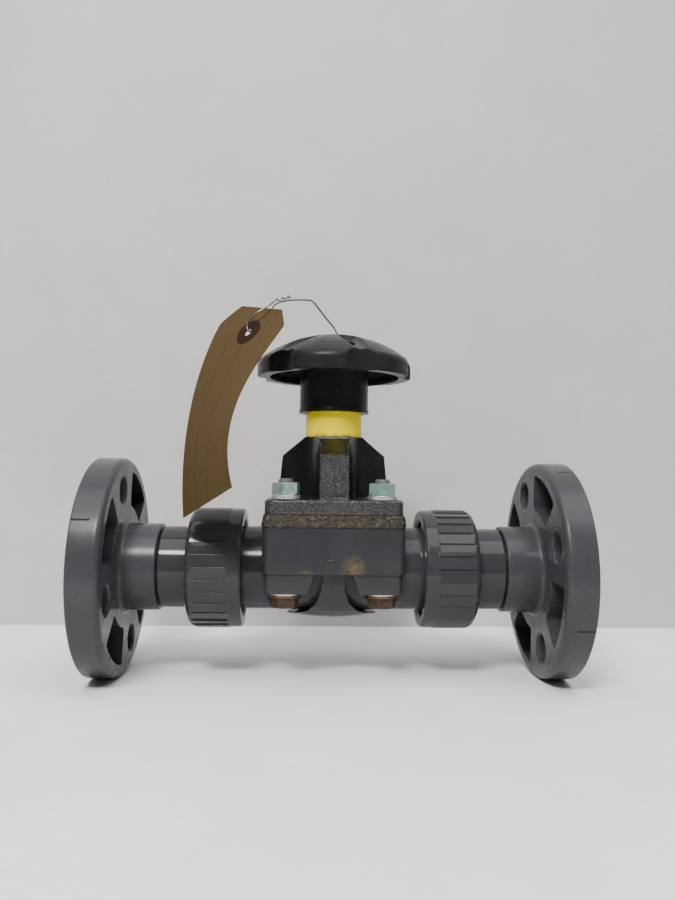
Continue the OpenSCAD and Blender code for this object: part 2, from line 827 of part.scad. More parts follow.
// Control points of the tag's two long edges, from the top down.
tag_left = [[-73, -3, 184], [-97, -16, 142], [-103, -34, 85], [-96.5, -48, 36.5]];
tag_right = [[-28, -52, 170], [-45, -63, 140], [-76, -82, 105], [-61, -98, 57]];
tag_cut_u = 0.18;
tag_cut_t = 0.11;
hole_t = 0.16;
hole_u = 0.54;
tag_hole_r = 3.3;
patch_r = 9.8;

// Route of the wire: up from the spindle's end, across, and through the hole in the tag.
wire_route = [
    [0.5, 5.6, 161.5], [1.5, 5.5, 164.5], [1.5, 4.5, 167], [-1, 1.5, 171], [-7, -4, 176.5],
    [-15, -11.5, 185], [-17.5, -13.5, 186.3], [-24, -18.5, 185.2], [-32, -24, 183.5],
    [-38.5, -28.5, 181], [-42, -31.5, 178], [-43.5, -31.5, 174], [-50, -30.6, 168.2],
    [-57, -32.2, 160.5], [-57.3, -33.5, 159.5], [-58.2, -34.8, 159.7], [-59, -35.4, 161],
    [-59.5, -34.8, 162.9], [-58.2, -36.8, 166.5], [-52.5, -40, 171], [-44.5, -38.8, 176.5],
    [-42.2, -34.5, 179.8]
];

function bezier(p, t) = pow(1 - t, 3) * p[0] + 3 * pow(1 - t, 2) * t * p[1]
    + 3 * (1 - t) * t * t * p[2] + t * t * t * p[3];
function unit(v) = v / norm(v);
function tag_point(t, u) = (1 - u) * bezier(tag_left, t) + u * bezier(tag_right, t);
function tag_normal(t, u) = unit(cross(
    tag_point(t, u + 0.01) - tag_point(t, u - 0.01),
    tag_point(t + 0.01, u) - tag_point(t - 0.01, u)));

// Sheet that follows the tag's curved surface, with its two upper corners cut off.
module tag_sheet(half_t) {
    rows = 22;
    cols = 4;
    width = cols + 1;
    sheet = [for (side = [-1, 1], i = [0 : rows], j = [0 : cols])
        let (t = i / rows)
        let (cut = tag_cut_u * max(0, 1 - t / tag_cut_t))
        let (u = cut + (1 - 2 * cut) * j / cols)
        tag_point(t, u) + side * half_t * tag_normal(t, u)];
    layer = (rows + 1) * width;
    skins = [for (i = [0 : rows - 1], j = [0 : cols - 1])
        let (a = i * width + j, b = a + 1, c = a + width, d = c + 1)
        each [[a, b, c], [b, d, c], [layer + a, layer + c, layer + b],
            [layer + b, layer + c, layer + d]]];
    ends = [for (j = [0 : cols - 1], low = [0, 1])
        let (a = (low ? 0 : rows * width) + j, b = a + 1)
        each (low ? [[a, layer + a, b], [b, layer + a, layer + b]]
            : [[a, b, layer + a], [b, layer + b, layer + a]])];
    sides = [for (i = [0 : rows - 1], right = [0, 1])
        let (a = i * width + (right ? cols : 0), c = a + width)
        each (right ? [[a, layer + a, c], [c, layer + a, layer + c]]
            : [[a, c, layer + a], [c, layer + c, layer + a]])];
    polyhedron(sheet, concat(skins, ends, sides));
}

// Turns a shape made along +Z so that it stands on the tag at the hole.
module at_tag_hole() {
    n = tag_normal(hole_t, hole_u);
    translate(tag_point(hole_t, hole_u))
        rotate([0, acos(n[2]), atan2(n[1], n[0])]) children();
}

// Direction of a route at a point.
function heading(p, i) = unit(p[min(i + 1, len(p) - 1)] - p[max(i - 1, 0)]);
// Side vectors carried along a route without twist.
function carried(p, i, v) = let (h = heading(p, i)) unit(v - (v * h) * h);
function side_vectors(p, i, v) = i == len(p) ? []
    : let (s = carried(p, i, v)) concat([s], side_vectors(p, i + 1, s));

// Round wire along a route of points.
module wire(p, r, sides) {
    s = side_vectors(p, 0, [0.31, 0.05, 1]);
    rings = [for (i = [0 : len(p) - 1], k = [0 : sides - 1])
        let (h = heading(p, i), a = 360 * k / sides)
        p[i] + r * (cos(a) * s[i] + sin(a) * cross(h, s[i]))];
    walls = [for (i = [0 : len(p) - 2], k = [0 : sides - 1])
        let (a = i * sides + k, b = i * sides + (k + 1) % sides)
        each [[a, a + sides, b], [b, a + sides, b + sides]]];
    last = (len(p) - 1) * sides;
    polyhedron(rings, concat(walls, [[for (k = [0 : sides - 1]) k]],
        [[for (k = [sides - 1 : -1 : 0]) last + k]]));
}

module tag() {
    color([0.45, 0.36, 0.24]) difference() {
        tag_sheet(tag_t / 2);
        at_tag_hole() cylinder(r = tag_hole_r, h = 20, center = true, $fn = 24);
    }
}

module tag_patch() {
    color([0.30, 0.16, 0.12]) difference() {
        intersection() {
            tag_sheet(tag_t / 2 + 0.3);
            at_tag_hole() cylinder(r = patch_r, h = 20, center = true, $fn = 32);
        }
        tag_sheet(tag_t / 2);
        at_tag_hole() cylinder(r = tag_hole_r, h = 20, center = true, $fn = 24);
    }
}

module tag_wire() {
    loop_r = 5.4;
    loop_z = 160.1;
    twist_turns = 3;
    loop = [for (i = [0 : 20]) let (a = 120 + 16.5 * i)
        [loop_r * cos(a), loop_r * sin(a), loop_z + 0.03 * i]];
    twist_from = wire_route[len(wire_route) - 1];
    twist_to = [-31, -23, 185.6];
    twist = [for (i = [1 : 8 * twist_turns]) let (a = 45 * i, f = i / 8 / twist_turns)
        twist_from + f * (twist_to - twist_from)
            + [0.5 * sin(a), -0.5 * sin(a), 0.7 * (1 - cos(a))]];
    color(steel) wire(concat(loop, wire_route, twist), wire_d / 2, 8);
}

valve_body();
diaphragm();
diaphragm_stud();
compressor();
compressor_pins();
thrust_washer();
bonnet();
bonnet_bolts();
bonnet_nuts();
upper_washers();
lower_washers();
spindle_bush();
spindle_seal();
indicator_sleeve();
spindle();
handwheel();
wheel_washer();
wheel_nut();
inlet_oring();
inlet_tail();
inlet_nipple();
inlet_flange();
inlet_union_nut();
outlet_oring();
outlet_tail();
outlet_nipple();
outlet_flange();
outlet_union_nut();
tag();
tag_patch();
tag_wire();
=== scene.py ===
"""Looks of the flanged diaphragm valve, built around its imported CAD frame. Lengths are in metres."""

import math

import bmesh
import bpy
from mathutils import Matrix, Vector, noise as perlin


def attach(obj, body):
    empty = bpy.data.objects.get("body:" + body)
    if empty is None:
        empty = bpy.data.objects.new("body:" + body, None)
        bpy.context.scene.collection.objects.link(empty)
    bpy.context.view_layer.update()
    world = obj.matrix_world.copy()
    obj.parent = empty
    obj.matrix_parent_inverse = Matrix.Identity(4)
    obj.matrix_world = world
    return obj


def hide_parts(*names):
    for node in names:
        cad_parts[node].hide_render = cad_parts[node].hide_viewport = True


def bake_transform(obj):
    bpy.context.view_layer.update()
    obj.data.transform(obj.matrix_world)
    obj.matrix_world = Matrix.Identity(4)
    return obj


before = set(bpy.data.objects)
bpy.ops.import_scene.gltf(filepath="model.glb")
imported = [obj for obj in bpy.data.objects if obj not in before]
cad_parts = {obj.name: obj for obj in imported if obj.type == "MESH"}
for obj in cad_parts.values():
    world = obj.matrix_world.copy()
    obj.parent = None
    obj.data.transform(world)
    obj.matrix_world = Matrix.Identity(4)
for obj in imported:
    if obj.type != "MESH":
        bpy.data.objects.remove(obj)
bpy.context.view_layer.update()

MM = 0.001
THREAD_PITCH = 1.5 * MM
FLOOR_Z = -0.075
FLOOR_FRONT, WALL_Y, FLOOR_BACK = -0.6, 0.17, 1.8
STAGE_HALF_WIDTH, WALL_HEIGHT = 3, 3
FLOOR_PAINT = (0.9, 0.9, 0.885)
WALL_PAINT = (0.56, 0.55, 0.53)
WORLD_LIGHT, WORLD_SEEN = 0.1, 0.7

# ---------------------------------------------------------------- camera


def add_camera():
    """Camera at the photograph's place: in front, a little above the valve's axis, almost level."""
    yaw, pitch, roll = 0.037578, 0.036668, 0.012566
    lens, sensor = 29.775, 36.0
    place = Vector((-16.876, -526.93, 63.557)) * MM
    ahead = Vector((math.sin(yaw) * math.cos(pitch), math.cos(yaw) * math.cos(pitch), math.sin(pitch)))
    level = Vector((math.cos(yaw), -math.sin(yaw), 0))
    upright = level.cross(ahead)
    right = level * math.cos(roll) + upright * math.sin(roll)
    up = upright * math.cos(roll) - level * math.sin(roll)
    data = bpy.data.cameras.new("camera")
    data.sensor_fit = "AUTO"
    data.sensor_width = sensor
    data.lens = lens
    data.clip_start = 0.01
    data.dof.use_dof = False
    camera = bpy.data.objects.new("camera", data)
    turn = Matrix((right, up, -ahead)).transposed().to_4x4()
    camera.matrix_world = Matrix.Translation(place) @ turn
    bpy.context.scene.collection.objects.link(camera)
    bpy.context.scene.camera = camera


add_camera()

# ---------------------------------------------------------------- node helpers


class Look:
    """A node material being built, with short calls for the nodes that it uses."""

    def __init__(self, name):
        self.material = bpy.data.materials.new(name)
        self.material.use_nodes = True
        self.tree = self.material.node_tree
        self.tree.nodes.clear()
        self.shader = self.tree.nodes.new("ShaderNodeBsdfPrincipled")
        self.surface = self.tree.nodes.new("ShaderNodeOutputMaterial").inputs["Surface"]
        self.tree.links.new(self.shader.outputs[0], self.surface)
        self.place = self.node("ShaderNodeTexCoord").outputs["Object"]

    def node(self, kind, **settings):
        made = self.tree.nodes.new(kind)
        for key, value in settings.items():
            setattr(made, key, value)
        return made

    def feed(self, socket, value):
        """Links a socket's source, or sets a plain value."""
        if isinstance(value, bpy.types.NodeSocket):
            self.tree.links.new(value, socket)
        elif isinstance(value, tuple) and len(value) == 3 and socket.type == "RGBA":
            socket.default_value = (*value, 1)
        else:
            socket.default_value = value

    def constant(self, **values):
        """Sets the shader's own sockets, whose names have _ for a space."""
        for key, value in values.items():
            self.feed(self.shader.inputs[key.replace("_", " ")], value)

    def stretched(self, x, y, z, source=None):
        made = self.node("ShaderNodeMapping")
        self.feed(made.inputs["Vector"], source or self.place)
        made.inputs["Scale"].default_value = (x, y, z)
        return made.outputs[0]

    def noise(self, scale, detail=4.0, roughness=0.5, distortion=0.0, vector=None):
        made = self.node("ShaderNodeTexNoise")
        self.feed(made.inputs["Vector"], vector or self.place)
        made.inputs["Scale"].default_value = scale
        made.inputs["Detail"].default_value = detail
        made.inputs["Roughness"].default_value = roughness
        made.inputs["Distortion"].default_value = distortion
        return made.outputs["Fac"]

    def cells(self, scale, feature="F1", vector=None, randomness=1.0):
        made = self.node("ShaderNodeTexVoronoi", feature=feature)
        self.feed(made.inputs["Vector"], vector or self.place)
        made.inputs["Scale"].default_value = scale
        made.inputs["Randomness"].default_value = randomness
        return made.outputs["Distance"]

    def math(self, operation, a, b=0.0, clamp=False):
        made = self.node("ShaderNodeMath", operation=operation, use_clamp=clamp)
        self.feed(made.inputs[0], a)
        self.feed(made.inputs[1], b)
        return made.outputs[0]

    def between(self, value, low, high, out_low=0.0, out_high=1.0):
        """Smooth step of a value from low to high."""
        made = self.node("ShaderNodeMapRange", interpolation_type="SMOOTHSTEP")
        self.feed(made.inputs["Value"], value)
        ends = {"From Min": low, "From Max": high, "To Min": out_low, "To Max": out_high}
        for key, number in ends.items():
            made.inputs[key].default_value = number
        return made.outputs[0]

    def blend(self, amount, a, b):
        made = self.node("ShaderNodeMix", data_type="RGBA")
        self.feed(made.inputs["Factor"], amount)
        self.feed(made.inputs["A"], a)
        self.feed(made.inputs["B"], b)
        return made.outputs["Result"]

    def axes(self, source=None):
        made = self.node("ShaderNodeSeparateXYZ")
        self.feed(made.inputs[0], source or self.place)
        return made.outputs

    def spot(self, centre, size):
        """1 at a place on the object, falling to 0 at the given half sizes round it."""
        moved = self.node("ShaderNodeVectorMath", operation="SUBTRACT")
        self.feed(moved.inputs[0], self.place)
        moved.inputs[1].default_value = centre
        scaled = self.stretched(*[1 / s for s in size], source=moved.outputs[0])
        length = self.node("ShaderNodeVectorMath", operation="LENGTH")
        self.feed(length.inputs[0], scaled)
        return self.between(length.outputs["Value"], 1.0, 0.35)

    def bump(self, height, distance, strength=1.0, under=None):
        made = self.node("ShaderNodeBump")
        made.inputs["Strength"].default_value = strength
        made.inputs["Distance"].default_value = distance
        self.feed(made.inputs["Height"], height)
        if under is not None:
            self.feed(made.inputs["Normal"], under)
        return made.outputs[0]

    def soft_edges(self, radius):
        """Normal with its edges rounded, and a mask of the edges."""
        bevel = self.node("ShaderNodeBevel", samples=6)
        bevel.inputs["Radius"].default_value = radius
        straight = self.node("ShaderNodeNewGeometry")
        facing = self.node("ShaderNodeVectorMath", operation="DOT_PRODUCT")
        self.feed(facing.inputs[0], bevel.outputs[0])
        self.feed(facing.inputs[1], straight.outputs["Normal"])
        mask = self.between(facing.outputs["Value"], 0.995, 0.8)
        return bevel.outputs[0], mask


# ---------------------------------------------------------------- materials


def scaled(colour, factor):
    return tuple(min(1, c * factor) for c in colour)


PVC_GREY = (0.0305, 0.0312, 0.0348)
PVC_SCUFF = (0.07, 0.07, 0.074)
PVC_DUST = (0.04, 0.039, 0.038)
WATER_MARK = (0.115, 0.085, 0.045)


def pvc_look(name, stains=(), roughness=0.2, edge=0.0005, tint=1.0):
    """Dark grey moulded PVC-U: flow marks, faint dust, fine scuffs and softly worn edges.
    stains are (place, half sizes, strength) of rust-brown water marks."""
    look = Look(name)
    grey = scaled(PVC_GREY, tint)
    flow = look.noise(38, 5, 0.6, 0.6)
    colour = look.blend(look.between(flow, 0.38, 0.68), grey, scaled(grey, 1.13))
    dust = look.between(look.noise(120, 6, 0.62), 0.52, 0.78, 0, 0.3)
    colour = look.blend(dust, colour, PVC_DUST)
    streaks = look.noise(9, 3, 0.7, 0, look.stretched(9, 60, 130))
    scuffs = look.math("MULTIPLY", look.between(streaks, 0.66, 0.74),
                       look.between(look.noise(22, 3), 0.5, 0.64))
    colour = look.blend(look.math("MULTIPLY", scuffs, 0.5), colour, PVC_SCUFF)
    normal, edges = look.soft_edges(edge)
    worn = look.math("MULTIPLY", edges, look.between(look.noise(260, 3), 0.35, 0.7, 0.1, 0.55))
    colour = look.blend(worn, colour, PVC_SCUFF)
    for place, size, strength in stains:
        mark = look.spot(place, size)
        ragged = look.between(look.noise(300, 5, 0.65), 0.3, 0.62)
        amount = look.math("MULTIPLY", look.math("MULTIPLY", mark, ragged), strength)
        colour = look.blend(amount, colour, WATER_MARK)
    dull = look.between(look.noise(60, 6, 0.65), 0.3, 0.75, -0.04, 0.07)
    rough = look.math("ADD", look.math("ADD", dull, look.math("MULTIPLY", scuffs, 0.2)), roughness)
    pebble = look.noise(1500, 3, 0.6)
    wave = look.noise(85, 2, 0.4)
    height = look.math("ADD", look.math("MULTIPLY", pebble, 0.10), look.math("MULTIPLY", wave, 0.35))
    height = look.math("SUBTRACT", height, look.math("MULTIPLY", scuffs, 0.35))
    look.constant(Base_Color=colour, Roughness=rough, IOR=1.52, Specular_IOR_Level=0.2,
                  Normal=look.bump(height, 0.00008, 0.5, normal))
    return look.material


IRON_BLACK = (0.008, 0.008, 0.0084)
IRON_GRIME = (0.02, 0.0175, 0.013)
IRON_DUST_AND_GLINT = (0.08, 0.082, 0.086)
IRON_CHIP = (0.11, 0.075, 0.05)
IRON_RUST = (0.075, 0.04, 0.018)
YELLOW_REFLECTION_PAINT = (0.042, 0.036, 0.0045)


def iron_look(name):
    """Gloss black coating over cast iron: coarse sand texture on the flange and the middle panels, with a
    painted reflection of the yellow sleeve in the recess below it.
    """
    look = Look(name)
    x, _, z = look.axes()
    panel = look.between(look.math("ABSOLUTE", x), 0.0115, 0.0095)
    panel = look.math("MULTIPLY", panel, look.between(z, 0.0795, 0.0765))
    low = look.between(z, 0.0496, 0.0482)
    coarse = look.math("MAXIMUM", panel, low)
    sand = look.noise(1150, 5, 0.72, 0.3)
    lumps = look.noise(420, 3, 0.6)
    pits = look.between(look.cells(700), 0.0, 0.35)
    grain = look.math("ADD", look.math("MULTIPLY", sand, 0.65), look.math("MULTIPLY", lumps, 0.55))
    grain = look.math("ADD", grain, look.math("MULTIPLY", pits, 0.2))
    amount = look.math("ADD", look.math("MULTIPLY", coarse, 0.9), 0.1)
    height = look.math("MULTIPLY", grain, amount)
    normal, edges = look.soft_edges(0.0008)
    grime = look.between(look.noise(75, 6, 0.7, 0.5), 0.5, 0.75)
    colour = look.blend(look.math("MULTIPLY", grime, 0.5), IRON_BLACK, IRON_GRIME)
    # pale specks on the raised sand grains of the flange edge and panels: dust, and painted glints of the
    # rough casting
    dust_and_glints = look.math("MULTIPLY", look.between(sand, 0.5, 0.6), look.math("MULTIPLY", coarse, 0.85))
    colour = look.blend(dust_and_glints, colour, IRON_DUST_AND_GLINT)
    chips = look.math("MULTIPLY", edges, look.between(look.noise(380, 4, 0.6), 0.55, 0.63))
    colour = look.blend(look.math("MULTIPLY", chips, 0.8), colour, IRON_CHIP)
    rust = look.math("MULTIPLY", look.between(z, 0.0415, 0.0388),
                     look.between(look.noise(160, 5, 0.7), 0.45, 0.62))
    colour = look.blend(look.math("MULTIPLY", rust, 0.75), colour, IRON_RUST)
    # painted reflection: an olive-yellow patch in the sloping recess below the yellow sleeve, standing in
    # for the sleeve's reflection in the gloss coating
    painted_reflection = look.math("MULTIPLY", look.spot((0, -0.0265, 0.0835), (0.0115, 0.012, 0.0085)),
                      look.between(look.noise(240, 5, 0.65), 0.28, 0.6, 0.35, 1.0))
    colour = look.blend(look.math("MULTIPLY", painted_reflection, 0.8), colour, YELLOW_REFLECTION_PAINT)
    rough = look.math("ADD", look.math("MULTIPLY", coarse, 0.06),
                      look.between(look.noise(90, 5), 0.3, 0.7, 0.16, 0.26))
    rough = look.math("ADD", rough, look.math("MULTIPLY", rust, 0.3))
    look.constant(Base_Color=colour, Roughness=rough, IOR=1.5, Coat_Weight=0.35, Coat_Roughness=0.12,
                  Normal=look.bump(height, 0.0016, 0.9, normal))
    return look.material


def wheel_look(name):
    """Black moulded handwheel plastic: semi-gloss, finely grained, with rubbed lobes and pale dust."""
    look = Look(name)
    normal, edges = look.soft_edges(0.0008)
    cloudy = look.between(look.noise(55, 5, 0.6), 0.4, 0.7)
    base = look.blend(cloudy, (0.016, 0.016, 0.0165), (0.023, 0.0225, 0.0225))
    dust = look.between(look.noise(240, 7, 0.7, 0.4), 0.58, 0.76, 0, 0.25)
    up = look.axes(look.node("ShaderNodeNewGeometry").outputs["Normal"])[2]
    dust = look.math("MULTIPLY", dust, look.between(up, 0.2, 0.9, 0.15, 1.0))
    base = look.blend(dust, base, (0.045, 0.042, 0.037))
    streaks = look.noise(12, 4, 0.7, 0, look.stretched(8, 120, 70))
    scratch = look.math("MULTIPLY", look.between(streaks, 0.67, 0.73),
                        look.between(look.noise(30, 2), 0.48, 0.6))
    base = look.blend(look.math("MULTIPLY", scratch, 0.5), base, (0.09, 0.09, 0.09))
    base = look.blend(look.math("MULTIPLY", edges, 0.25), base, (0.06, 0.06, 0.06))
    rough = look.between(look.noise(80, 6, 0.65), 0.3, 0.72, 0.2, 0.32)
    rough = look.math("ADD", rough, look.math("MULTIPLY", dust, 0.3))
    leather = look.cells(1900, "SMOOTH_F1")
    height = look.math("ADD", look.math("MULTIPLY", leather, 0.5),
                       look.math("MULTIPLY", look.noise(90, 3), 0.9))
    look.constant(Base_Color=base, Roughness=rough, IOR=1.5, Specular_IOR_Level=0.08,
                  Normal=look.bump(height, 0.00012, 0.55, normal))
    return look.material


def yellow_look(name):
    """Yellow indicator plastic with fine turning lines, rubbed marks and a grimy lower edge."""
    look = Look(name)
    z = look.axes()[2]
    base = look.blend(look.between(look.noise(70, 4), 0.35, 0.7), (1.0, 0.80, 0.0), (0.94, 0.72, 0.0))
    grime = look.math("MULTIPLY", look.between(z, 0.0945, 0.0915),
                      look.between(look.noise(210, 6, 0.7), 0.42, 0.62))
    base = look.blend(look.math("MULTIPLY", grime, 0.75), base, (0.17, 0.09, 0.01))
    drag = look.noise(14, 3, 0.6, 0, look.stretched(40, 40, 4))
    drag = look.math("MULTIPLY", look.between(drag, 0.62, 0.7), look.between(look.noise(40, 3), 0.5, 0.62))
    base = look.blend(look.math("MULTIPLY", drag, 0.35), base, (0.45, 0.3, 0.01))
    normal, _ = look.soft_edges(0.0004)
    rings = look.noise(1, 2, 0.5, 0, look.stretched(30, 30, 3200))
    rough = look.math("ADD", look.math("MULTIPLY", grime, 0.3),
                      look.between(look.noise(110, 4), 0.3, 0.7, 0.24, 0.36))
    look.constant(Base_Color=base, Roughness=rough, IOR=1.45, Specular_IOR_Level=0.12,
                  Normal=look.bump(rings, 0.00003, 0.5, normal))
    return look.material


def zinc_look(name, tint=(0.26, 0.44, 0.42), pale=(0.66, 0.74, 0.70), rust_below=None):
    """Zinc plate on a nut or washer: blue-green film over brushed steel, white bloom, rust specks.
    The film is thicker on the outlet's side. Below rust_below the plate has turned to rust."""
    look = Look(name)
    film = look.between(look.noise(130, 4, 0.6, 0.8), 0.35, 0.68)
    film = look.math("MULTIPLY", film, look.between(look.axes()[0], -0.02, 0.02, 1.0, 0.25))
    base = look.blend(film, tint, pale)
    bloom = look.between(look.noise(900, 5, 0.7), 0.6, 0.75, 0, 0.5)
    base = look.blend(bloom, base, (0.72, 0.74, 0.70))
    specks = look.between(look.noise(520, 4, 0.75), 0.66, 0.72, 0, 0.8)
    if rust_below is not None:
        ragged = look.math("MULTIPLY", look.math("SUBTRACT", look.noise(380, 4, 0.6), 0.5), 1.2 * MM)
        depth = look.math("ADD", look.axes()[2], ragged)
        eaten = look.between(depth, rust_below + 0.2 * MM, rust_below - 0.2 * MM)
        specks = look.math("MAXIMUM", specks, eaten)
    base = look.blend(specks, base, (0.16, 0.08, 0.04))
    normal, edges = look.soft_edges(0.0004)
    base = look.blend(look.math("MULTIPLY", edges, 0.4), base, (0.75, 0.77, 0.76))
    rough = look.math("ADD", look.between(look.noise(300, 5), 0.3, 0.7, 0.3, 0.48),
                      look.math("MULTIPLY", specks, 0.3))
    lines = look.noise(1, 3, 0.6, 0, look.stretched(500, 500, 3600))
    height = look.math("ADD", lines, look.math("MULTIPLY", bloom, 0.6))
    look.constant(Base_Color=base, Metallic=0.78, Roughness=rough,
                  Normal=look.bump(height, 0.00004, 0.5, normal))
    return look.material


def rust_look(name):
    """Bolt steel whose plating has gone: brown rust with darker scale and a little bare metal."""
    look = Look(name)
    z = look.axes()[2]
    patches = look.between(look.noise(260, 6, 0.7, 0.5), 0.35, 0.65)
    base = look.blend(patches, (0.035, 0.022, 0.015), (0.075, 0.042, 0.027))
    scale = look.between(look.noise(800, 5, 0.7), 0.55, 0.7)
    base = look.blend(look.math("MULTIPLY", scale, 0.7), base, (0.045, 0.026, 0.02))
    bright = look.between(z, 0.045, 0.056)
    base = look.blend(bright, base, (0.14, 0.145, 0.14))
    normal, edges = look.soft_edges(0.0004)
    base = look.blend(look.math("MULTIPLY", edges, 0.35), base, (0.30, 0.24, 0.2))
    rough = look.between(look.noise(420, 5), 0.3, 0.7, 0.5, 0.8)
    wave = look.math("SINE", look.math("MULTIPLY", z, 2 * math.pi / THREAD_PITCH))
    thread = look.math("MULTIPLY", wave, bright)
    height = look.math("ADD", look.noise(1400, 5, 0.7), look.math("MULTIPLY", scale, 0.6))
    height = look.math("ADD", height, look.math("MULTIPLY", thread, 1.6))
    look.constant(Base_Color=base, Metallic=0.45, Roughness=rough,
                  Normal=look.bump(height, 0.00022, 0.7, normal))
    return look.material


def metal_look(name, colour, dark, roughness=0.3):
    """Turned metal with fine tool rings and a slight tarnish."""
    look = Look(name)
    tarnish = look.between(look.noise(140, 5, 0.6), 0.4, 0.7)
    base = look.blend(look.math("MULTIPLY", tarnish, 0.6), colour, dark)
    rings = look.noise(1, 2, 0.5, 0, look.stretched(60, 60, 4200))
    normal, _ = look.soft_edges(0.0003)
    rough = look.between(look.noise(200, 4), 0.3, 0.7, roughness - 0.06, roughness + 0.12)
    look.constant(Base_Color=base, Metallic=0.95, Roughness=rough,
                  Normal=look.bump(rings, 0.00003, 0.5, normal))
    return look.material


def rubber_look(name, dirty):
    """Moulded EPDM. When dirty, its rim is caked with brown grime and flecks of paint."""
    look = Look(name)
    grain = look.noise(900, 5, 0.65)
    base = look.blend(look.between(grain, 0.35, 0.7), (0.016, 0.015, 0.014), (0.034, 0.032, 0.03))
    lumps = look.noise(330, 5, 0.7, 0.8)
    if dirty:
        cake = look.between(look.noise(110, 6, 0.72, 0.6), 0.3, 0.6)
        base = look.blend(cake, base, (0.036, 0.03, 0.02))
        pale = look.between(lumps, 0.53, 0.62)
        base = look.blend(look.math("MULTIPLY", pale, 0.8), base, (0.13, 0.098, 0.058))
        dark = look.between(look.noise(620, 4, 0.6), 0.5, 0.58)
        base = look.blend(look.math("MULTIPLY", dark, 0.85), base, (0.009, 0.007, 0.005))
    lumpiness, relief = (1.0, 0.0006) if dirty else (0.2, 0.0001)
    smooth_end, rough_end = (0.45, 0.78) if dirty else (0.4, 0.55)
    normal, _ = look.soft_edges(0.0005)
    height = look.math("ADD", look.math("MULTIPLY", lumps, lumpiness), look.math("MULTIPLY", grain, 0.4))
    rough = look.between(grain, 0.3, 0.7, smooth_end, rough_end)
    look.constant(Base_Color=base, Specular_IOR_Level=0.25, Roughness=rough,
                  Normal=look.bump(height, relief, 0.7, normal))
    return look.material


RULED_INK = (0.035, 0.022, 0.012)


def paper_look(name, colour, ruled=False):
    """Brown tag paper with fibres, handling marks, and two long ruled lines where asked."""
    look = Look(name)
    uv = look.node("ShaderNodeTexCoord").outputs["UV"]
    fibres = look.noise(55, 6, 0.75, 1.2, look.stretched(1, 6, 1, uv))
    base = look.blend(look.between(fibres, 0.3, 0.72), scaled(colour, 0.82), scaled(colour, 1.16))
    blot = look.between(look.noise(7, 5, 0.6, 0.5, uv), 0.5, 0.72)
    base = look.blend(look.math("MULTIPLY", blot, 0.3), base, scaled(colour, 0.62))
    flecks = look.between(look.noise(1600, 3, 0.6), 0.68, 0.76)
    base = look.blend(look.math("MULTIPLY", flecks, 0.5), base, scaled(colour, 0.4))
    if ruled:
        across, along, _ = look.axes(uv)
        for place in (0.3, 0.56):
            line = look.math("ABSOLUTE", look.math("SUBTRACT", across, place))
            ink = look.math("MULTIPLY", look.between(line, 0.0085, 0.004), look.between(along, 0.15, 0.17))
            broken = look.between(look.noise(90, 3, 0.6, 0, uv), 0.3, 0.5, 0.45, 0.85)
            base = look.blend(look.math("MULTIPLY", ink, broken), base, RULED_INK)
    creases = look.noise(5, 4, 0.6, 1.5, uv)
    height = look.math("ADD", look.math("MULTIPLY", fibres, 0.35), creases)
    look.constant(Base_Color=base, Roughness=0.82, Specular_IOR_Level=0.12,
                  Normal=look.bump(height, 0.0005, 0.5))
    return look.material


RUST_RINGS = [((sx * 0.0323, sy * 0.0295, -0.0125), (0.013, 0.013, 0.005), 0.6)
              for sx in (-1, 1) for sy in (-1, 1)]
BODY_STAINS = [((0.0127, -0.0405, 0.0045), (0.0105, 0.006, 0.0095), 0.75),
               ((0.0127, -0.0405, 0.004), (0.0035, 0.004, 0.0035), 0.6),
               ((-0.018, -0.0405, 0.0015), (0.008, 0.004, 0.002), 0.4)] + RUST_RINGS

FLANGE_DIRT = [((-0.1427, 0.008, 0.033), (0.004, 0.008, 0.004), 0.6),
               ((-0.1427, -0.015, 0.033), (0.004, 0.006, 0.004), 0.5)]

LOOKS = {
    "body_pvc": pvc_look("body_pvc", BODY_STAINS, 0.18),
    "fitting_pvc": pvc_look("fitting_pvc", (), 0.09),
    "nut_pvc": pvc_look("nut_pvc", (), 0.13, edge=0.0004, tint=1.04),
    "flange_pvc": pvc_look("flange_pvc", FLANGE_DIRT, 0.26, edge=0.0009, tint=1.3),
    "black_iron": iron_look("black_iron"),
    "black_plastic": wheel_look("black_plastic"),
    "yellow_plastic": yellow_look("yellow_plastic"),
    "zinc_steel": zinc_look("zinc_steel"),
    "washer_steel": zinc_look("washer_steel", (0.62, 0.62, 0.58), (0.8, 0.79, 0.74)),
    "rusty_washer": zinc_look("rusty_washer", (0.62, 0.62, 0.58), (0.8, 0.79, 0.74), -13.9 * MM),
    "rusty_steel": rust_look("rusty_steel"),
    "turned_steel": metal_look("turned_steel", (0.56, 0.56, 0.57), (0.3, 0.29, 0.28)),
    "brass": metal_look("brass", (0.72, 0.53, 0.22), (0.35, 0.24, 0.1)),
    "bright_wire": metal_look("bright_wire", (0.22, 0.22, 0.225), (0.09, 0.085, 0.08), 0.42),
    "seal_rubber": rubber_look("seal_rubber", False),
    "diaphragm_rubber": rubber_look("diaphragm_rubber", True),
    "kraft_paper": paper_look("kraft_paper", (0.07, 0.044, 0.017), ruled=True),
    "red_board": paper_look("red_board", (0.021, 0.009, 0.0035)),
}

